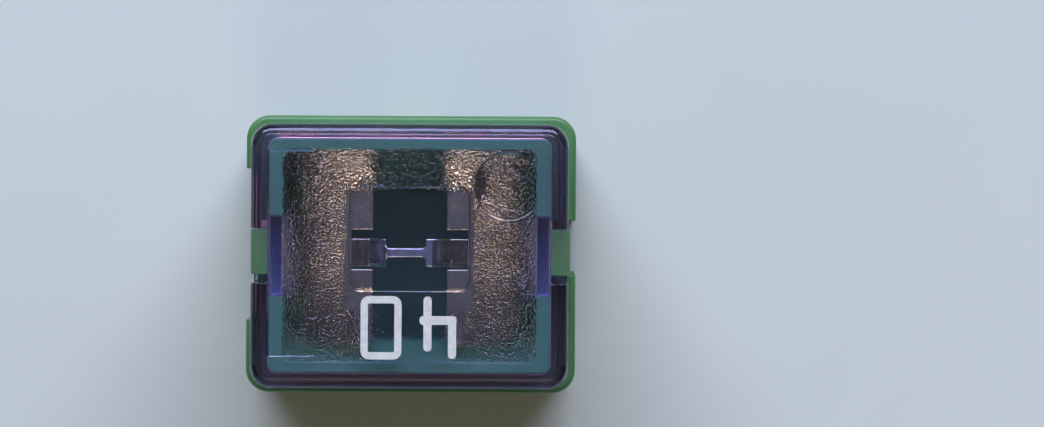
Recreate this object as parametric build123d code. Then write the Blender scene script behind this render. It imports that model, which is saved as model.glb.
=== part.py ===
from build123d import *
import os

# Cartridge fuse with female terminals, 40 A class. Millimetres, +Z up.
# It stands on the end that takes the blades, with its clear cover on top.
# X runs along the long side of the outline, Y along the short side.
# The origin is the centre of the flat bottom end.

# Metal strip: two receptacles joined by a necked link
strip_thickness = 0.45
plate_gap = 3.1            # between the inner edges of the two top plates
plate_length = 3.7         # each top plate, along X, bend included
terminal_width = 6.8       # upright back plate and receptacle, along Y
terminal_drop = 18.6       # from the mouth's edge to the face of the top plate
bend_radius = 0.35         # inside radius of the folds
tab_corner = 0.3           # corners of the top plates' ends
tab_rest = 0.2             # the shorter ends reach this far over the ledge
tab_inset = 0.15           # the longer ends stop this far inside the back plate's face
receptacle_height = 9.0
receptacle_depth = 2.3     # outside depth of the rolled sides, along X
blade_gap = 0.6            # sprung gap between back plate and lips at rest
lip_inset = 1.9            # from the receptacle's side to the lip's contact line
mouth_flare = 0.45         # how far the lips open at the mouth
flare_height = 1.2

# Fuse link
link_width = 1.2
link_thickness = 0.3
link_offset = 0.12         # the link lies nearer one long side
link_root = 0.95           # how far each root is cut back into its top plate
link_relief = 0.36         # wide slit beside each root
link_slit = 0.1            # narrow slit on its other side
link_rise = 0.5
link_flat = 2.1            # raised flat part, along X
link_slope = 0.62          # each slope down from it, along X
neck_length = 1.66
neck_width = 0.4
neck_offset = -0.17        # the neck lies nearer one terminal
neck_corner = 0.16

# Housing, moulded in one piece
fit_gap = 0.1              # metal to housing
leg_gap = 0.2              # receptacle sides to housing
ledge_width = 0.9          # carries the ends of the top plates
neck_wall_x = 0.6
neck_wall_y = 0.44
neck_corner_radius = 0.35
neck_height = 7.0
head_room = 2.0            # from the top plates up to the rim
entry_wall = 1.2           # closed end below the terminals
mouth_clearance = 0.8      # entry wall to the mouth of the receptacle
blade_width = 6.3          # mating blade
blade_thickness = 0.8
slot_clearance = 0.3       # round the blade, in the entry slot
slot_lead_in = 0.45
shoulder_width = 0.35      # how far the body stands out past the cover
body_corner_radius = 1.0
shoulder_round = 0.2
foot_chamfer = 0.25
web_drop = 1.0             # top of the web between the pockets, below the shoulder
web_wall = 1.1             # web walls round the open core below
pocket_wall = 1.25         # broad walls behind the outer recesses
collar_height = 3.0        # full-outline band below the shoulder
waist_step = 0.5           # how far the broad sides step in below the collar
centre_rib = 1.8
corner_rib = 1.5
recess_corner = 0.4
side_cut_width = 6.5       # wide cut-out on one short side
side_cut_depth = 0.5
side_cut_centre_y = 0.4

# Snap fit
lug_width = 1.94
lug_centre_y = 0.11
lug_reach = 0.88           # out from the neck
lug_flat = 0.9             # upright part of the nose
lug_height = 2.3
groove_width = 2.35        # groove below the lug, where the mould frees it
groove_centre_y = 0.3
bridge_height = 0.9        # band of the cover that hooks under the lug
notch_width = 2.3          # opening in the cover over the lug
key_width = 3.3            # tongue of the cover in the housing's rim
key_gap = 0.3              # above the lug

# Cover, clear
cover_gap = 0.05
cover_wall_x = 0.72
cover_wall_y = 0.6
cover_face = 0.75
cover_corner_radius = 0.9
cover_edge_round = 0.45
window_x = 5.0             # polished window over the link
window_y = 4.36
window_centre_y = 0.73
window_corner = 0.5
strip_x = 1.9              # plain strip beside the window
strip_y = 8.6
strip_centre_y = 0.1
face_recess = 0.06         # depth of the window and of the strip

# Heights, from the bottom end up
mouth_z = entry_wall + mouth_clearance
plate_z = mouth_z + terminal_drop
ledge_z = plate_z - strip_thickness
rim_z = plate_z + head_room
shoulder_z = rim_z - neck_height
collar_z = shoulder_z - collar_height
web_z = shoulder_z - web_drop
lug_z = shoulder_z + cover_gap + bridge_height + cover_gap
key_z = lug_z + lug_height + key_gap
skirt_z = shoulder_z + cover_gap
face_z = rim_z + cover_gap
top_z = face_z + cover_face

# Half widths, from the middle out
terminal_x = plate_gap / 2 + plate_length
cavity_x = terminal_x + fit_gap
neck_x = cavity_x + neck_wall_x
cover_in_x = neck_x + cover_gap
cover_x = cover_in_x + cover_wall_x
body_x = cover_x + shoulder_width
pocket_y = terminal_width / 2 + leg_gap
cavity_y = pocket_y + ledge_width
neck_y = cavity_y + neck_wall_y
cover_in_y = neck_y + cover_gap
cover_y = cover_in_y + cover_wall_y
body_y = cover_y + shoulder_width

back_x = terminal_x - strip_thickness          # inner face of the back plate
blade_x = back_x - blade_thickness / 2
pocket_in_x = terminal_x - receptacle_depth - fit_gap
link_root_x = plate_gap / 2 + link_root
link_z = plate_z - link_thickness / 2          # middle of the link at its roots

TINY = 0.01                # keeps a cut from ending on the face it opens


def span(low, high):
    """Box from one corner to the opposite one."""
    size = [b - a for a, b in zip(low, high)]
    middle = [(a + b) / 2 for a, b in zip(low, high)]
    return Pos(*middle) * Box(*size)


def block(half_x, half_y, radius, low, high):
    """Upright block about the Z axis, with rounded corners."""
    outline = RectangleRounded(2 * half_x, 2 * half_y, radius)
    return Pos(0, 0, low) * extrude(outline, high - low)


def both_ends(shape):
    """The shape and its twin on the other short side."""
    return shape + mirror(shape, Plane.YZ)


def four_corners(shape):
    """The shape and its three twins, one in each quarter of the outline."""
    half = both_ends(shape)
    return half + mirror(half, Plane.XZ)


# Housing

def body_block():
    """Full-outline collar over the slimmer lower part, with eased edges."""
    collar = block(body_x, body_y, body_corner_radius, collar_z, shoulder_z)
    collar = fillet(collar.edges().group_by(Axis.Z)[-1], shoulder_round)
    lower = block(body_x, body_y - waist_step, body_corner_radius, 0, collar_z + TINY)
    return collar + chamfer(lower.edges().group_by(Axis.Z)[0], foot_chamfer)


def lug():
    """Snap nose on the neck: flat below, sloped above for the cover to ride over."""
    root = neck_x - neck_wall_x / 2
    tip = neck_x + lug_reach
    profile = Plane.XZ * make_face(Polyline(
        (root, lug_z),
        (tip, lug_z),
        (tip, lug_z + lug_flat),
        (neck_x, lug_z + lug_height),
        (root, lug_z + lug_height),
        close=True,
    ))
    return Pos(0, lug_centre_y) * extrude(profile, lug_width / 2, both=True)


def cavity():
    """Open space under the cover, down to the ledge and on to the central web."""
    upper = block(cavity_x, cavity_y, neck_corner_radius, ledge_z, rim_z + TINY)
    well = span((-cavity_x, -pocket_y, web_z), (cavity_x, pocket_y, ledge_z + TINY))
    return upper + well


def terminal_pocket():
    """Room for one receptacle, closed below but for the blade's entry slot."""
    pocket = span((pocket_in_x, -pocket_y, entry_wall), (cavity_x, pocket_y, web_z + TINY))
    slot_x = blade_thickness / 2 + slot_clearance
    slot_y = blade_width / 2 + slot_clearance
    slot = Pos(blade_x, 0, entry_wall / 2) * Box(2 * slot_x, 2 * slot_y, entry_wall + 2 * TINY)
    mouth = Rectangle(2 * (slot_x + slot_lead_in), 2 * (slot_y + slot_lead_in))
    lead_in = loft([
        Pos(blade_x, 0, -TINY) * mouth,
        Pos(blade_x, 0, slot_lead_in) * Rectangle(2 * slot_x, 2 * slot_y),
    ])
    return pocket + slot + lead_in


def web_core():
    """Blind core in the web, open at the foot, that keeps its walls even."""
    half_x = pocket_in_x - web_wall
    core = span((-half_x, -pocket_y, -TINY), (half_x, pocket_y, web_z - web_wall))
    return fillet(core.edges().filter_by(Axis.Z), recess_corner)


def broad_recess():
    """Outer recess that keeps the broad wall even, open at the foot."""
    low_x = centre_rib / 2
    high_x = body_x - corner_rib
    recess = span(
        (low_x, pocket_y + pocket_wall, -TINY),
        (high_x, body_y + TINY, collar_z),
    )
    inner = recess.edges().filter_by(Axis.Z).group_by(Axis.Y)[0]
    return fillet(inner, recess_corner)


def lug_groove():
    """Groove below a lug, up to the neck's face, that the mould needs to free it."""
    half = groove_width / 2
    groove = span((neck_x, -half, -TINY), (body_x + TINY, half, shoulder_z + TINY))
    return Pos(0, groove_centre_y) * groove


def side_cut():
    """Wide shallow cut-out down one short side."""
    half = side_cut_width / 2
    return Pos(0, side_cut_centre_y) * span(
        (-body_x - TINY, -half, -TINY),
        (-body_x + side_cut_depth, half, shoulder_z + TINY),
    )


def key_slot():
    """Gap in the rim that takes the cover's tongue."""
    half = key_width / 2 + cover_gap
    return span((cavity_x - TINY, -half, key_z - cover_gap), (neck_x + TINY, half, rim_z + TINY))


def housing():
    """Coloured moulding: body, shoulder, neck and snap lugs."""
    neck = block(neck_x, neck_y, neck_corner_radius, shoulder_z - shoulder_round - TINY, rim_z)
    moulding = body_block() + neck + both_ends(lug())
    moulding -= cavity()
    moulding -= both_ends(terminal_pocket())
    moulding -= web_core()
    moulding -= four_corners(broad_recess())
    moulding -= both_ends(lug_groove())
    moulding -= side_cut()
    return moulding - both_ends(key_slot())


# Cover

def skirted_shell():
    """Face and skirt, with a rounded front edge."""
    outer = block(cover_x, cover_y, cover_corner_radius, skirt_z, top_z)
    outer = fillet(outer.edges().group_by(Axis.Z)[-1], cover_edge_round)
    inner = block(cover_in_x, cover_in_y, neck_corner_radius + cover_gap, skirt_z - TINY, face_z)
    return outer - inner


def lug_notch():
    """Opening in the skirt over a lug, closed by the band that hooks under it."""
    half = notch_width / 2
    return span((cover_in_x, -half, skirt_z + bridge_height), (cover_x + TINY, half, top_z + TINY))


def key():
    """Tongue that fills the gap in the housing's rim behind the notch."""
    return span(
        (cavity_x + cover_gap, -key_width / 2, key_z),
        (neck_x - cover_gap, key_width / 2, face_z + TINY),
    )


def face_marks():
    """Shallow polished window over the link, and the plain strip beside it."""
    window = Pos(0, window_centre_y) * RectangleRounded(window_x, window_y, window_corner)
    strip_middle = neck_x - strip_x / 2
    strip = Pos(-strip_middle, strip_centre_y) * Rectangle(strip_x, strip_y)
    return Pos(0, 0, top_z - face_recess) * extrude(window + strip, face_recess + TINY)


def cover():
    """Clear cap that snaps over the neck."""
    return skirted_shell() - both_ends(lug_notch()) + both_ends(key()) - face_marks()


# Fuse element

def folded_plates():
    """Top plate, outer fold and upright back plate of one terminal."""
    middle = strip_thickness / 2
    line = FilletPolyline(
        (plate_gap / 2, plate_z - middle),
        (terminal_x - middle, plate_z - middle),
        (terminal_x - middle, mouth_z + receptacle_height),
        radius=bend_radius + middle,
    )
    profile = Plane.XZ * trace(line, strip_thickness)
    return extrude(profile, terminal_width / 2, both=True)


def plate_tabs():
    """Ends of a top plate, which rest on the housing's ledge."""
    flat_x = terminal_x - bend_radius - strip_thickness
    short = span((plate_gap / 2, -pocket_y - tab_rest, ledge_z), (flat_x, 0, plate_z))
    long = span(
        (plate_gap / 2, pocket_y, ledge_z),
        (terminal_x - tab_inset, cavity_y - fit_gap, plate_z),
    )
    near_end = short.edges().filter_by(Axis.Z).group_by(Axis.Y)[0]
    far_end = long.edges().filter_by(Axis.Z).group_by(Axis.Y)[-1]
    middle = span((plate_gap / 2, 0, ledge_z), (flat_x, pocket_y + TINY, plate_z))
    return fillet(near_end, tab_corner) + middle + fillet(far_end, tab_corner)


def rolled_section(opening):
    """Section of the rolled sides and lips; opening moves the lips off the blade."""
    middle = strip_thickness / 2
    radius = bend_radius + middle
    side = terminal_width / 2 - middle
    roof = terminal_x - receptacle_depth + middle
    contact = back_x - blade_gap - middle - opening
    half = [
        (contact, terminal_width / 2 - lip_inset),
        (roof, side - 2 * radius),
        (roof, side),
        (terminal_x - middle, side),
    ]
    corners = half + [(x, -y) for x, y in reversed(half)]
    radii = [radius / 2, radius, radius, radius, radius, radius / 2]
    return trace(FilletPolyline(*corners, radius=radii), strip_thickness)


def receptacle():
    """Rolled sides and spring lips that grip the blade, opened out at the mouth."""
    grip = Pos(0, 0, mouth_z + flare_height) * rolled_section(0)
    mouth = Pos(0, 0, mouth_z) * rolled_section(mouth_flare)
    return extrude(grip, receptacle_height - flare_height) + loft([mouth, grip])


def terminal():
    """One female terminal, cut back where the link leaves it."""
    low_y = link_offset - link_width / 2 - link_slit
    high_y = link_offset + link_width / 2 + link_relief
    relief = span((0, low_y, ledge_z - TINY), (link_root_x, high_y, plate_z + TINY))
    return folded_plates() + plate_tabs() + receptacle() - relief


def neck_cut():
    """What is punched from one edge of the link to leave half of its neck."""
    low_x = neck_offset - neck_length / 2
    high_x = neck_offset + neck_length / 2
    cut = span(
        (low_x, neck_width / 2, link_z - link_thickness),
        (high_x, link_width, link_z + link_rise + link_thickness),
    )
    inner = cut.edges().filter_by(Axis.Z).group_by(Axis.Y)[0]
    return fillet(inner, neck_corner)


def link():
    """Raised strip between the terminals, necked where it melts."""
    top = link_z + link_rise
    foot_x = link_flat / 2 + link_slope
    half = [(link_root_x + strip_thickness, link_z), (foot_x, link_z), (link_flat / 2, top)]
    corners = half + [(-x, z) for x, z in reversed(half)]
    line = FilletPolyline(*corners, radius=bend_radius)
    strip = extrude(Plane.XZ * trace(line, link_thickness), link_width / 2, both=True)
    cuts = neck_cut()
    return Pos(0, link_offset) * (strip - cuts - mirror(cuts, Plane.XZ))


def fuse_element():
    """The whole stamping: two terminals and the link between them."""
    return both_ends(terminal()) + link()


def main():
    os.makedirs("parts", exist_ok=True)
    pieces = {
        "housing": housing(),
        "cover": cover(),
        "fuse_element": fuse_element(),
    }
    for name, piece in pieces.items():
        export_step(piece, f"parts/{name}.step")


main()
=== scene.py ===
import bpy
import bmesh
import math
from mathutils import Matrix, Vector


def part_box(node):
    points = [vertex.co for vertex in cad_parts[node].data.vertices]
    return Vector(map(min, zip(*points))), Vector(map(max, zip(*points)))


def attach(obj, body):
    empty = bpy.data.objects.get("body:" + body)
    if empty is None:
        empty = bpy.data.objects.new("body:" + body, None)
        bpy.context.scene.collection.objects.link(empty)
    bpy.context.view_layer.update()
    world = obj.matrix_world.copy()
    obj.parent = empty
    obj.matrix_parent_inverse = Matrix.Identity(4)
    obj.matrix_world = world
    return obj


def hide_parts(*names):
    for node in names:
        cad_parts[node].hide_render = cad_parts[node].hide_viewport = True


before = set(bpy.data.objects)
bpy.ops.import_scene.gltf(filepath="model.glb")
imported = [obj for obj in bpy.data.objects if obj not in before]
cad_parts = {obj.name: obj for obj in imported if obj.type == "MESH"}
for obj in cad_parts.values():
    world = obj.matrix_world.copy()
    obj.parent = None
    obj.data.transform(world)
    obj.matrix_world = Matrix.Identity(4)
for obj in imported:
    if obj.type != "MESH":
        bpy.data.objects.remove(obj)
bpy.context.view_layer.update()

MM = 0.001
HAIR = 0.004                      # millimetres, a gap too small to see


def corners(solid):
    """Lowest and highest corner of a solid, in millimetres."""
    return [[round(value / MM, 3) for value in corner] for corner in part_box(solid)]


# The cover's places, in millimetres, worked out from its solid
(_, _, SKIRT_Z), (COVER_X, COVER_Y, TOP_Z) = corners("cover")
FACE_THICKNESS, WALL_X, WALL_Y = 0.75, 0.72, 0.6
FACE_Z = TOP_Z - FACE_THICKNESS   # inside, below the face
INNER_X, INNER_Y = COVER_X - WALL_X, COVER_Y - WALL_Y
COVER_R, INNER_R = 0.9, 0.4       # upright corners
EDGE_ROUND, EDGE_STEP, STEP_WIDTH = 0.4, 0.02, 0.06
NOTCH_HALF, NOTCH_Z = 1.15, SKIRT_Z + 0.9
TONGUE_X0, TONGUE_X1, TONGUE_HALF, TONGUE_Z = 5.4, 5.9, 1.65, 19.2

# The sunk areas of the cover's face: low and high x, low and high y
WINDOW = (-2.5, 2.5, -1.45, 2.91)
WINDOW_R = 0.5
STRIP = (-5.95, -4.05, -4.2, 4.4)
STRIP_R = 0.06
RECESS = 0.06
PIN_MARK = (4.2, 2.97)                         # middle of the round mark
PIN_STEPS = ((1.39, 0.06), (0.98, 0.10))       # radius and depth of its two steps
RECESS_WALL, WINDOW_WALL = 60, 78              # steepest part of a sunk wall, degrees
RECESS_LIP = 8                                 # the same wall where it meets the face
PAST = 0.5                                     # how far a cutter reaches past the cover

# Rounding of the edges
SHARP = math.radians(30)
SKIRT_SOFT = 0.08                 # bottom rim of the skirt
CEILING_SOFT = 0.02               # corner inside, below the face
COVER_EASE, HOUSING_EASE, STRIP_EASE = 0.045, 0.045, 0.05
HOUSING_EASED_Z, STRIP_EASED_Z = 12.7, 19.5    # edges above these heights are rounded

# How the press and the assembly leave the top plates and the link's roots bent
BEND_Z, BEND_RUN = 19.6, 0.5      # the bending sets in here, over this height
BEND_X = (-4.2, -3.8, -3.4, -3.0, -2.5, 2.5, 3.0, 3.4, 3.8, 4.2)
BEND_Y = (-3, -2.3, -1.6, -1.0, 1.6, 2.3, 3.0, 3.7)
ROOT_X, ROOT_Y, ROOT_HALF = 2.51, 0.12, 0.62   # the area that the link's roots lie in
ROOT_LIFT, ROOT_RUN, ROOT_IN, ROOT_OUT = 0.07, 0.7, 1.1, 2.5
BOW_START, BOW_FAR = -1.5, 3.0                 # lowest line of a plate, and its straighter end
BOW_BEFORE, BOW_AFTER, BOW_END = 0.015, 0.0075, 0.0015    # how strongly it bends from there
SIDE_START, SIDE_DROP = 2.9, 0.042             # the outer sides bend down

# Areas that the materials use, given like the sunk areas
STIPPLED, POLISHED = (-5.4, 5.35, -4.4, 4.55), (-2.8, 2.75, -2.3, 2.78)
FAINT = (-2.4, 2.6, -4.6, -1.5)                # weaker stipple behind the number
COATED, COATED_Z = (-1.7, 1.25, -0.55, 0.79), 20.3    # pale link, from this height up
FOLD_SHADE_X = (4.45, 4.75)                          # painted shade: the strip darkens to brown between these

# The picture: its size in pixels, pixels in a millimetre at the cover's face,
# the pixel of the fuse's middle, and the fuse's turn in the picture's plane
PICTURE = (1044, 427)
PIXELS_PER_MM = 23.65
MIDDLE = (409.3, 256.3)
ROLL = math.radians(0.3)

# Strokes of the number, in pixels: middle, then half width, half height and corner radius
ZERO_MIDDLE = (381, 327.75)
ZERO_OUTSIDE, ZERO_INSIDE = (20.5, 31.75, 8.5), (13.2, 24.4, 1.6)
FOUR_STEM = ((427.5, 324), (4.1, 27.5, 4.0))
FOUR_BAR = ((438, 320.5), (18.5, 4.4, 3.4))
FOUR_TAIL = ((452, 337.5), (4.1, 21.5, 4.0))
PRINT_SINK, PRINT_RISE = 0.005, 0.02           # millimetres below and above the face


def on_face(px, py):
    """Place on the cover's face, in millimetres, of a pixel of the picture."""
    dx, dy = (px - MIDDLE[0]) / PIXELS_PER_MM, (MIDDLE[1] - py) / PIXELS_PER_MM
    return (
        dx * math.cos(ROLL) - dy * math.sin(ROLL),
        dx * math.sin(ROLL) + dy * math.cos(ROLL),
    )


# Meshes

def new_object(name, mesh):
    """Links a new object with this mesh into the scene."""
    obj = bpy.data.objects.new(name, mesh)
    bpy.context.scene.collection.objects.link(obj)
    return obj


def from_bmesh(name, bm, smooth=True):
    """Turns an editable mesh into an object, with its faces turned outward."""
    bmesh.ops.recalc_face_normals(bm, faces=bm.faces)
    mesh = bpy.data.meshes.new(name)
    bm.to_mesh(mesh)
    bm.free()
    if smooth:
        mesh.shade_smooth()
    return new_object(name, mesh)


def rounded_outline(half_x, half_y, radius, steps=10):
    """Counter-clockwise points of a rounded rectangle, millimetres."""
    points = []
    for quarter, (side_x, side_y) in enumerate(((1, 1), (-1, 1), (-1, -1), (1, -1))):
        centre_x, centre_y = side_x * (half_x - radius), side_y * (half_y - radius)
        for i in range(steps + 1):
            angle = math.radians(90 * quarter + 90 * i / steps)
            points.append((
                centre_x + radius * math.cos(angle),
                centre_y + radius * math.sin(angle),
            ))
    return points


def loop_at(bm, outline, z):
    """A closed row of new vertices at one height, millimetres."""
    return [bm.verts.new((x * MM, y * MM, z * MM)) for x, y in outline]


def bridge(bm, low, high):
    """Joins two rows of vertices with a band of faces."""
    count = len(low)
    for i in range(count):
        j = (i + 1) % count
        bm.faces.new((low[i], low[j], high[j], high[i]))


def apply_modifiers(obj):
    """Makes the effect of the object's modifiers its own mesh."""
    graph = bpy.context.evaluated_depsgraph_get()
    done = bpy.data.meshes.new_from_object(obj.evaluated_get(graph))
    obj.modifiers.clear()
    old = obj.data
    obj.data = done
    bpy.data.meshes.remove(old)


def cut(obj, cutter, operation="DIFFERENCE"):
    """Takes the cutter out of the object, or joins it on, and removes the cutter."""
    mod = obj.modifiers.new("cut", "BOOLEAN")
    mod.operation = operation
    mod.solver = "EXACT"
    mod.object = cutter
    apply_modifiers(obj)
    bpy.data.objects.remove(cutter)


def box(name, low, high):
    """A box between two corners, millimetres."""
    bm = bmesh.new()
    bmesh.ops.create_cube(bm, size=1)
    for v in bm.verts:
        v.co = Vector([
            (start + end) / 2 + side * (end - start) for start, end, side in zip(low, high, v.co)
        ]) * MM
    return from_bmesh(name, bm, smooth=False)


def prism(name, outline, low, high):
    """An outline raised between two heights, millimetres."""
    bm = bmesh.new()
    bottom = loop_at(bm, outline, low)
    top = loop_at(bm, outline, high)
    bm.faces.new(bottom)
    bm.faces.new(top)
    bridge(bm, bottom, top)
    return from_bmesh(name, bm, smooth=False)


def hollow(obj, centre, half_x, half_y, radius, depth, steepest=RECESS_WALL):
    """Presses a shallow recess into the cover's face, with a wall that curves in."""
    steps = 6
    wall = depth / (1 - math.cos(math.radians(steepest)))
    sections = []
    for i in range(steps + 1):
        angle = math.radians(steepest + (RECESS_LIP - steepest) * i / steps)
        grow = wall * (math.sin(math.radians(steepest)) - math.sin(angle))
        sections.append((grow, TOP_Z - wall * (1 - math.cos(angle))))
    sections.append((sections[-1][0], TOP_Z + PAST))
    bm = bmesh.new()
    loops = []
    for grow, z in sections:
        outline = rounded_outline(half_x + grow, half_y + grow, radius + grow)
        loops.append(loop_at(bm, [(x + centre[0], y + centre[1]) for x, y in outline], z))
    bm.faces.new(loops[0])
    bm.faces.new(loops[-1])
    for low, high in zip(loops, loops[1:]):
        bridge(bm, low, high)
    cut(obj, from_bmesh("hollow", bm))


def hollow_area(obj, area, radius, steepest=RECESS_WALL):
    """Presses one of the rectangular areas into the cover's face."""
    x0, x1, y0, y1 = area
    centre = ((x0 + x1) / 2, (y0 + y1) / 2)
    hollow(obj, centre, (x1 - x0) / 2, (y1 - y0) / 2, radius, RECESS, steepest)


def even_normals(obj):
    """Large flats keep their own normals where they run into a curve."""
    mod = obj.modifiers.new("normals", "WEIGHTED_NORMAL")
    mod.mode = "FACE_AREA"
    mod.weight = 100
    mod.keep_sharp = False
    apply_modifiers(obj)


def mark_sharp(bm, low):
    """Marks the sharp edges that lie above a height, in millimetres, for rounding."""
    weight = bm.edges.layers.float.new("bevel_weight_edge")
    for edge in bm.edges:
        sharp = edge.is_manifold and edge.calc_face_angle() > SHARP
        edge[weight] = float(sharp and all(v.co.z / MM > low for v in edge.verts))


def soften(obj, width, segments, limit="ANGLE"):
    """Rounds the sharp or the marked edges and keeps the flats flat."""
    mod = obj.modifiers.new("edges", "BEVEL")
    mod.width = width * MM
    mod.segments = segments
    mod.limit_method = limit
    mod.angle_limit = SHARP
    mod.miter_outer = "MITER_ARC"
    mod.use_clamp_overlap = False
    apply_modifiers(obj)
    even_normals(obj)


def bow(x, y):
    """How far the top plates and the roots of the link are bent out of flat, millimetres."""
    if abs(x) < ROOT_X and abs(y - ROOT_Y) < ROOT_HALF:
        near_ends = min((ROOT_OUT - abs(x)) / ROOT_RUN, (abs(x) - ROOT_IN) / ROOT_RUN)
        return bow(ROOT_X, y) + ROOT_LIFT * max(0, near_ends)
    along = y - BOW_START
    if along < 0:
        rise = BOW_BEFORE * along ** 2
    elif along < BOW_FAR:
        rise = BOW_AFTER * along ** 2
    else:
        past = along - BOW_FAR
        rise = BOW_AFTER * BOW_FAR * (BOW_FAR + 2 * past) + BOW_END * past ** 2
    return rise - SIDE_DROP * max(0, abs(x) - SIDE_START) ** 2


def flat_tops(obj):
    """The corners of the bent plates take their normals from the plates alone."""
    steepest, smallest = math.cos(math.radians(9)), 0.06 * MM * MM
    mesh = obj.data
    total = [Vector((0, 0, 0)) for _ in mesh.vertices]
    for face in mesh.polygons:
        if abs(face.normal.z) > steepest and face.area > smallest:
            for index in face.vertices:
                total[index] += face.normal * face.area
    normals = [corner.vector.copy() for corner in mesh.corner_normals]
    for loop in mesh.loops:
        if total[loop.vertex_index].length:
            normals[loop.index] = total[loop.vertex_index].normalized()
    mesh.normals_split_custom_set(normals)


def divide_plates(bm, axis, place):
    """Cuts the faces of the top plates and the link along one line, millimetres."""
    at, normal = [0, 0, 0], [0, 0, 0]
    at[axis] = place * MM
    normal[axis] = 1
    upper = [f for f in bm.faces if f.calc_center_median().z > (BEND_Z + 0.2) * MM]
    edges = dict.fromkeys(e for f in upper for e in f.edges)
    verts = dict.fromkeys(v for f in upper for v in f.verts)
    bmesh.ops.bisect_plane(
        bm, geom=[*verts, *edges, *upper], dist=1e-7, plane_co=at, plane_no=normal
    )


def bend_plates(bm):
    """Divides the plates' faces and bends them as a press leaves them."""
    for axis, places in enumerate((BEND_X, BEND_Y)):
        for place in places:
            divide_plates(bm, axis, place)
    for v in bm.verts:
        x, y, z = v.co / MM
        share = min(1, max(0, (z - BEND_Z) / BEND_RUN))
        v.co.z += share * bow(x, y) * MM
    bmesh.ops.remove_doubles(bm, verts=bm.verts, dist=HAIR * MM)


def from_solid(solid, name, width, segments, low, bend=None):
    """A copy of a solid's faces with its sharp edges above a height rounded."""
    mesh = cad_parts[solid].data.copy()
    mesh.name = name
    mesh.materials.clear()
    bm = bmesh.new()
    bm.from_mesh(mesh)
    bmesh.ops.remove_doubles(bm, verts=bm.verts, dist=1e-6)
    bmesh.ops.dissolve_limit(
        bm, angle_limit=math.radians(1.0), verts=bm.verts, edges=bm.edges, delimit={"NORMAL"}
    )
    if bend:
        bend(bm)
    mark_sharp(bm, low)
    bmesh.ops.recalc_face_normals(bm, faces=bm.faces)
    bm.to_mesh(mesh)
    bm.free()
    mesh.shade_smooth()
    obj = new_object(name, mesh)
    soften(obj, width, segments, "WEIGHT")
    return obj


# Material helpers

def material(name):
    """A new material with one plain shader, and its parts."""
    mat = bpy.data.materials.new(name)
    mat.use_nodes = True
    tree = mat.node_tree
    tree.nodes.clear()
    out = tree.nodes.new("ShaderNodeOutputMaterial")
    shader = tree.nodes.new("ShaderNodeBsdfPrincipled")
    tree.links.new(shader.outputs["BSDF"], out.inputs["Surface"])
    return mat, tree, shader, out


def node(tree, kind, links=None, **values):
    """A node with its plain values set; links maps input names to output sockets."""
    made = tree.nodes.new(kind)
    for key, value in values.items():
        if hasattr(made, key):
            setattr(made, key, value)
        else:
            made.inputs[key.replace("_", " ")].default_value = value
    for key, socket in (links or {}).items():
        tree.links.new(socket, made.inputs[key])
    return made


def coordinates(tree):
    """Object coordinates in millimetres."""
    place = node(tree, "ShaderNodeTexCoord")
    mapping = node(tree, "ShaderNodeMapping", {"Vector": place.outputs["Object"]})
    mapping.inputs["Scale"].default_value = (1 / MM, 1 / MM, 1 / MM)
    return mapping.outputs["Vector"]


def noise(tree, place, scale, detail, roughness=0.5):
    """Cloudy noise from 0 to 1; a larger scale gives finer grains."""
    made = node(
        tree, "ShaderNodeTexNoise", {"Vector": place}, Scale=scale, Detail=detail, Roughness=roughness
    )
    return made.outputs["Fac"]


def ramp(tree, socket, stops):
    """A colour that goes from stop to stop with the value."""
    made = node(tree, "ShaderNodeValToRGB", {"Fac": socket})
    while len(made.color_ramp.elements) < len(stops):
        made.color_ramp.elements.new(0.5)
    for element, (place, colour) in zip(made.color_ramp.elements, stops):
        element.position = place
        element.color = (*colour, 1)
    return made.outputs["Color"]


def mix_colour(tree, factor, first, second):
    """The first colour at factor 0 and the second at factor 1."""
    made = node(tree, "ShaderNodeMix", data_type="RGBA")
    tree.links.new(factor, made.inputs["Factor"])
    colours = [socket for socket in made.inputs if socket.type == "RGBA"]
    tree.links.new(first, colours[0])
    tree.links.new(second, colours[1])
    return next(socket for socket in made.outputs if socket.type == "RGBA")


def to_range(tree, socket, low, high, new_low, new_high):
    """Maps the range from low to high onto the new one, and holds it at its ends."""
    made = node(tree, "ShaderNodeMapRange", {"Value": socket})
    made.inputs["From Min"].default_value = low
    made.inputs["From Max"].default_value = high
    made.inputs["To Min"].default_value = new_low
    made.inputs["To Max"].default_value = new_high
    return made.outputs["Result"]


def math_node(tree, operation, first, second=None):
    """One sum on sockets or numbers."""
    made = tree.nodes.new("ShaderNodeMath")
    made.operation = operation
    for slot, value in zip(made.inputs, (first, second)):
        if value is None:
            continue
        if isinstance(value, (int, float)):
            slot.default_value = value
        else:
            tree.links.new(value, slot)
    return made.outputs["Value"]


def product(tree, *factors):
    """All the factors multiplied together."""
    total = factors[0]
    for factor in factors[1:]:
        total = math_node(tree, "MULTIPLY", total, factor)
    return total


def inside(tree, x, y, area, edge):
    """1 inside an x, y area given in millimetres, 0 outside, over a soft edge."""
    return product(
        tree,
        to_range(tree, x, area[0] - edge, area[0] + edge, 0, 1),
        to_range(tree, x, area[1] - edge, area[1] + edge, 1, 0),
        to_range(tree, y, area[2] - edge, area[2] + edge, 0, 1),
        to_range(tree, y, area[3] - edge, area[3] + edge, 1, 0),
    )


def bump_on(tree, shader, height, strength, distance):
    """Gives the shader a fine relief, whose depth is in metres."""
    bump = node(
        tree, "ShaderNodeBump", {"Height": height}, Strength=strength, Distance=distance
    )
    tree.links.new(bump.outputs["Normal"], shader.inputs["Normal"])


# Materials

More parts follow.
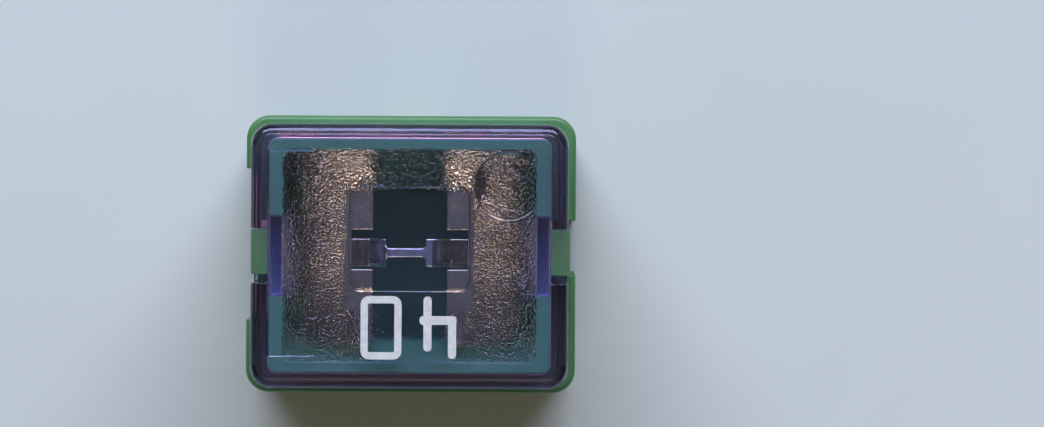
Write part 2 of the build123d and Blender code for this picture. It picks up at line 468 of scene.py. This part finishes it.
def green_plastic():
    """The housing's moulding, satin with a faint grain."""
    mat, tree, shader, _ = material("green_plastic")
    place = coordinates(tree)
    colour = ramp(tree, noise(tree, place, 0.35, 4.0, 0.6), [
        (0.3, (0.070, 0.212, 0.066)),
        (0.55, (0.082, 0.235, 0.075)),
        (0.75, (0.095, 0.260, 0.088)),
    ])
    tree.links.new(colour, shader.inputs["Base Color"])
    grain = noise(tree, place, 9.0, 3.0)
    tree.links.new(to_range(tree, grain, 0.3, 0.7, 0.34, 0.46), shader.inputs["Roughness"])
    bump_on(tree, shader, grain, 0.35, 1e-5)
    return mat


def metal_strip():
    """Bare strip with painted shade that darkens its outer folds to brown, and a pale coat on the
    raised link.
    """
    mat, tree, shader, _ = material("metal_strip")
    place = coordinates(tree)
    split = node(tree, "ShaderNodeSeparateXYZ", {"Vector": place})
    x, y, z = (split.outputs[axis] for axis in "XYZ")
    cloud = noise(tree, place, 0.7, 6.0, 0.65)
    bare = ramp(tree, cloud, [
        (0.30, (0.68, 0.60, 0.40)),
        (0.52, (0.79, 0.73, 0.49)),
        (0.72, (0.86, 0.81, 0.59)),
    ])
    # painted shade: a dark brown on the outer folds, standing in for the shade there
    fold_shade_colour = ramp(tree, cloud, [
        (0.30, (0.36, 0.30, 0.20)),
        (0.70, (0.50, 0.43, 0.30)),
    ])
    coat = ramp(tree, cloud, [
        (0.30, (0.88, 0.90, 0.86)),
        (0.70, (0.97, 0.98, 0.94)),
    ])
    fold = to_range(tree, math_node(tree, "ABSOLUTE", x), *FOLD_SHADE_X, 0, 1)
    link = inside(tree, x, y, COATED, 0.1)
    raised = to_range(tree, z, COATED_Z, COATED_Z + 0.1, 0, 1)
    bare_with_fold_shade = mix_colour(tree, fold, bare, fold_shade_colour)
    colour = mix_colour(tree, product(tree, link, raised), bare_with_fold_shade, coat)
    tree.links.new(colour, shader.inputs["Base Color"])
    shader.inputs["Metallic"].default_value = 1.0
    fine = noise(tree, place, 5.0, 5.0)
    tree.links.new(to_range(tree, fine, 0.3, 0.7, 0.06, 0.13), shader.inputs["Roughness"])
    bump_on(tree, shader, noise(tree, place, 1.6, 3.0, 0.55), 1.0, 1.2e-5)
    return mat


def cover_roughness(tree, x, y, z):
    """Polished, apart from the rim of one long side and the lower ends of the tongues."""
    polished, matt, most = 0.03, 0.575, 1.3
    rim_y, rim_z = (-5.3, -5.0), (TOP_Z - 1.0, TOP_Z - 0.7)
    rim = product(tree, to_range(tree, y, *rim_y, 1, 0), to_range(tree, z, *rim_z, 0, 1))
    margin, outer = 0.05, 0.03
    area = (TONGUE_X0 - margin, TONGUE_X1 + outer, -TONGUE_HALF - margin, TONGUE_HALF + margin)
    tongue = product(
        tree,
        inside(tree, math_node(tree, "ABSOLUTE", x), y, area, 0.02),
        to_range(tree, z, TONGUE_Z + 0.06, TONGUE_Z + 0.1, most, 0),
    )
    return to_range(tree, math_node(tree, "ADD", rim, tongue), 0, most, polished, matt)


def stipple_amount(tree, place, x, y, z):
    """How strong the stipple is: none off the face and in the window, weaker in places."""
    face = to_range(tree, z, TOP_Z - 0.2, TOP_Z - 0.1, 0, 1)
    field = inside(tree, x, y, STIPPLED, 0.06)
    smooth = inside(tree, x, y, POLISHED, 0.12)
    strip = inside(tree, x, y, STRIP, 0.04)
    faint = inside(tree, x, y, FAINT, 0.5)

    pin = node(tree, "ShaderNodeVectorMath", {0: place}, operation="SUBTRACT")
    pin.inputs[1].default_value = (*PIN_MARK, TOP_Z)
    flat = node(tree, "ShaderNodeVectorMath", {0: pin.outputs["Vector"]}, operation="MULTIPLY")
    flat.inputs[1].default_value = (1, 1, 0)
    reach = node(tree, "ShaderNodeVectorMath", {0: flat.outputs["Vector"]}, operation="LENGTH")
    past_rim = math_node(tree, "SUBTRACT", reach.outputs["Value"], PIN_STEPS[0][0] + 0.05)
    off_rim = math_node(tree, "ABSOLUTE", past_rim)
    return product(
        tree,
        face,
        field,
        math_node(tree, "SUBTRACT", 1.0, smooth),
        to_range(tree, strip, 0, 1, 1.0, 0.8),
        to_range(tree, faint, 0, 1, 1.0, 0.3),
        to_range(tree, off_rim, 0.05, 0.12, 0.1, 1.0),
    )


def clear_cover():
    """Clear violet moulding, stippled on its face, with plain shadows for its light."""
    mat, tree, shader, out = material("clear_cover")
    place = coordinates(tree)
    split = node(tree, "ShaderNodeSeparateXYZ", {"Vector": place})
    x, y, z = (split.outputs[axis] for axis in "XYZ")
    tint = ramp(tree, noise(tree, place, 0.5, 3.0), [
        (0.3, (0.71, 0.72, 0.97)),
        (0.7, (0.76, 0.76, 0.99)),
    ])
    tree.links.new(tint, shader.inputs["Base Color"])
    tree.links.new(cover_roughness(tree, x, y, z), shader.inputs["Roughness"])
    shader.inputs["IOR"].default_value = 1.57
    shader.inputs["Transmission Weight"].default_value = 1.0
    shader.inputs["Specular Tint"].default_value = (0.68, 0.74, 1.0, 1)

    pits = node(tree, "ShaderNodeTexVoronoi", {"Vector": place}, Scale=10.0)
    grains = noise(tree, place, 7.5, 2.0, 0.6)
    stipple = math_node(tree, "ADD", pits.outputs["Distance"], grains)
    # The stipple's mean is taken off, so that its edges make no step
    stipple = math_node(tree, "SUBTRACT", stipple, 1.0)
    height = product(tree, stipple, stipple_amount(tree, place, x, y, z))
    waves = product(tree, noise(tree, place, 0.8, 1.0), 0.08)
    bump_on(tree, shader, math_node(tree, "ADD", height, waves), 1.0, 2.75e-5)

    shadow = node(tree, "ShaderNodeLightPath")
    through = node(tree, "ShaderNodeBsdfTransparent")
    through.inputs["Color"].default_value = (0.46, 0.53, 0.98, 1)
    mix = node(tree, "ShaderNodeMixShader", {0: shadow.outputs["Is Shadow Ray"]})
    tree.links.new(shader.outputs["BSDF"], mix.inputs[1])
    tree.links.new(through.outputs["BSDF"], mix.inputs[2])
    tree.links.new(mix.outputs["Shader"], out.inputs["Surface"])
    volume = node(tree, "ShaderNodeVolumeAbsorption")
    volume.inputs["Color"].default_value = (0.92, 0.36, 0.53, 1)
    volume.inputs["Density"].default_value = 170.0
    tree.links.new(volume.outputs["Volume"], out.inputs["Volume"])
    return mat


def white_print():
    """Matt print on the cover's face."""
    mat, tree, shader, _ = material("white_print")
    speck = noise(tree, coordinates(tree), 4.0, 5.0)
    colour = ramp(tree, speck, [
        (0.3, (0.66, 0.63, 0.63)),
        (0.6, (0.80, 0.76, 0.75)),
    ])
    tree.links.new(colour, shader.inputs["Base Color"])
    tree.links.new(to_range(tree, speck, 0.3, 0.7, 0.45, 0.6), shader.inputs["Roughness"])
    return mat


def floor_paper():
    """Pale floor with a faint cloud in it."""
    mat, tree, shader, _ = material("floor_paper")
    colour = ramp(tree, noise(tree, coordinates(tree), 0.05, 3.0), [
        (0.3, (0.70, 0.70, 0.68)),
        (0.7, (0.74, 0.74, 0.72)),
    ])
    tree.links.new(colour, shader.inputs["Base Color"])
    shader.inputs["Roughness"].default_value = 0.7
    return mat


# Cover

def cover_section(inset, z):
    """Half sizes, corner radius and height of one row of the cover's outside."""
    return COVER_X - inset, COVER_Y - inset, COVER_R - inset, z


def inner_section(inset, z):
    """The same for the hollow inside."""
    return INNER_X - inset, INNER_Y - inset, INNER_R - inset, z


def cover_shell():
    """Closed shell: rounded skirt outside, hollow inside, flat face on top."""
    round_steps, rise_steps = 8, 6
    shoulder_z = TOP_Z - EDGE_STEP
    outer = [cover_section(SKIRT_SOFT, SKIRT_Z), cover_section(0, SKIRT_Z + SKIRT_SOFT)]
    inner = [inner_section(0, SKIRT_Z)]
    for i in range(round_steps + 1):
        angle = math.radians(90 * i / round_steps)
        in_share, up_share = 1 - math.cos(angle), math.sin(angle)
        outer.append(cover_section(
            EDGE_ROUND * in_share, shoulder_z - EDGE_ROUND + EDGE_ROUND * up_share
        ))
        inner.append(inner_section(
            CEILING_SOFT * in_share, FACE_Z - CEILING_SOFT + CEILING_SOFT * up_share
        ))
    for i in range(1, rise_steps + 1):
        rise = EDGE_STEP * (1 - math.cos(math.pi * i / rise_steps)) / 2
        outer.append(cover_section(EDGE_ROUND + STEP_WIDTH * i / rise_steps, shoulder_z + rise))
    bm = bmesh.new()
    shells = []
    for sections in (outer, inner):
        rows = [loop_at(bm, rounded_outline(*section[:3]), section[3]) for section in sections]
        for low, high in zip(rows, rows[1:]):
            bridge(bm, low, high)
        shells.append(rows)
    outside, within = shells
    bm.faces.new(outside[-1])
    bm.faces.new(within[-1])
    bridge(bm, outside[0], within[0])
    return from_bmesh("cover_clear", bm)


def cover_piece():
    """The shell with its tongues, its notches over the lugs and its sunk areas."""
    obj = cover_shell()
    for side in (-1, 1):
        x0, x1 = sorted((side * TONGUE_X0, side * TONGUE_X1))
        into_face = FACE_Z + 0.4
        tongue = box("tongue", (x0, -TONGUE_HALF, TONGUE_Z), (x1, TONGUE_HALF, into_face))
        cut(obj, tongue, "UNION")
        # The notch reaches a hair past the inner wall, so that no two faces share a plane
        x0, x1 = sorted((side * (INNER_X - HAIR), side * (COVER_X + PAST)))
        notch = box("notch", (x0, -NOTCH_HALF, NOTCH_Z), (x1, NOTCH_HALF, TOP_Z + PAST))
        cut(obj, notch)
    soften(obj, COVER_EASE, 2)
    hollow_area(obj, WINDOW, WINDOW_R, WINDOW_WALL)
    hollow_area(obj, STRIP, STRIP_R)
    for radius, depth in PIN_STEPS:
        hollow(obj, PIN_MARK, radius, radius, radius, depth)
    even_normals(obj)
    return obj


# Printed number

def stroke(name, middle, shape, low, high, steps=6):
    """One rounded stroke of a digit, given in pixels of the picture."""
    centre_x, centre_y = on_face(*middle)
    half_x, half_y, radius = (size / PIXELS_PER_MM for size in shape)
    outline = rounded_outline(half_x, half_y, radius, steps)
    return prism(name, [(x + centre_x, y + centre_y) for x, y in outline], low, high)


def rating_digits():
    """The plain number, read with the face turned half round."""
    low, high = TOP_Z - PRINT_SINK, TOP_Z + PRINT_RISE
    ring = stroke("rating_zero", ZERO_MIDDLE, ZERO_OUTSIDE, low, high)
    cut(ring, stroke("hole", ZERO_MIDDLE, ZERO_INSIDE, low - 0.1, high + 0.1, 4))
    stem = stroke("rating_four", *FOUR_STEM, low, high)
    cut(stem, stroke("bar", *FOUR_BAR, low, high), "UNION")
    cut(stem, stroke("tail", *FOUR_TAIL, low, high), "UNION")
    for digit in (ring, stem):
        digit.data.shade_flat()
    return ring, stem


# Pieces

housing = from_solid("housing", "housing_moulding", HOUSING_EASE, 3, HOUSING_EASED_Z)
housing.data.materials.append(green_plastic())
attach(housing, "root")
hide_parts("housing")

element = from_solid("fuse_element", "fuse_strip", STRIP_EASE, 2, STRIP_EASED_Z, bend_plates)
flat_tops(element)
element.data.materials.append(metal_strip())
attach(element, "root")
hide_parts("fuse_element")

cover = cover_piece()
cover.data.materials.append(clear_cover())
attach(cover, "root")
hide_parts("cover")

PRINT = white_print()
for piece in rating_digits():
    piece.data.materials.append(PRINT)
    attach(piece, "root")

# Floor and light

bpy.ops.mesh.primitive_plane_add(size=3)
floor = bpy.context.object
floor.name = "floor"
floor.data.materials.append(floor_paper())


def lamp(name, place, size, power, colour):
    """A rectangular lamp that points at the cover."""
    target = Vector((0, 0, 0.02))
    data = bpy.data.lights.new(name, "AREA")
    data.shape = "RECTANGLE"
    data.size, data.size_y = size
    data.energy = power
    data.color = colour
    obj = new_object(name, data)
    obj.location = place
    obj.rotation_mode = "QUATERNION"
    obj.rotation_quaternion = (target - Vector(place)).to_track_quat("-Z", "Y")


lamp("key", place=(0.0, 0.36, 0.37), size=(0.54, 0.25), power=3.9, colour=(0.70, 0.80, 1.0))
lamp("front", place=(0.0, -0.18, 0.47), size=(0.24, 0.12), power=0.03, colour=(1.0, 0.85, 0.60))
# Small and bright, for the glitter of the plates under the stipple
lamp("spot", place=(0.0, -0.14, 0.49), size=(0.055, 0.05), power=0.135, colour=(1.0, 0.93, 0.58))
# Dim and lilac, mirrored by the flat metal in the window
lamp("overhead", place=(-0.01, -0.03, 0.9), size=(0.14, 0.20), power=0.0155, colour=(0.60, 0.77, 0.98))

world = bpy.data.worlds.new("studio")
world.use_nodes = True
sky = world.node_tree
direction = node(sky, "ShaderNodeTexCoord").outputs["Generated"]
upward = node(sky, "ShaderNodeSeparateXYZ", {"Vector": direction}).outputs["Z"]
light = ramp(sky, upward, [
    (0.0, (0.22, 0.19, 0.19)),
    (0.10, (0.17, 0.15, 0.15)),
    (0.16, (0.038, 0.042, 0.036)),
])
sky.links.new(light, sky.nodes["Background"].inputs["Color"])
bpy.context.scene.world = world
bpy.context.scene.view_settings.view_transform = "Standard"

# Camera

DISTANCE = 0.5                    # metres from the cover's face
SENSOR = 36
TILT_X, TILT_Y = math.radians(0.5), math.radians(0.65)
camera_data = bpy.data.cameras.new("camera")
camera = new_object("camera", camera_data)
bpy.context.scene.camera = camera
camera_data.sensor_width = SENSOR
camera_data.lens = SENSOR * DISTANCE / (PICTURE[0] / PIXELS_PER_MM * MM)
camera_data.clip_start, camera_data.clip_end = 0.01, 10
away = Vector((math.tan(TILT_X), math.tan(TILT_Y), 1)).normalized()
camera.location = Vector((0, 0, TOP_Z * MM)) + away * DISTANCE
aim = Vector((*on_face(PICTURE[0] / 2, PICTURE[1] / 2), TOP_Z)) * MM
forward = (aim - camera.location).normalized()
picture_up = Vector((-math.sin(ROLL), math.cos(ROLL), 0))
right = forward.cross(picture_up).normalized()
turn = Matrix((right, right.cross(forward), -forward)).transposed()
camera.rotation_mode = "QUATERNION"
camera.rotation_quaternion = turn.to_quaternion()
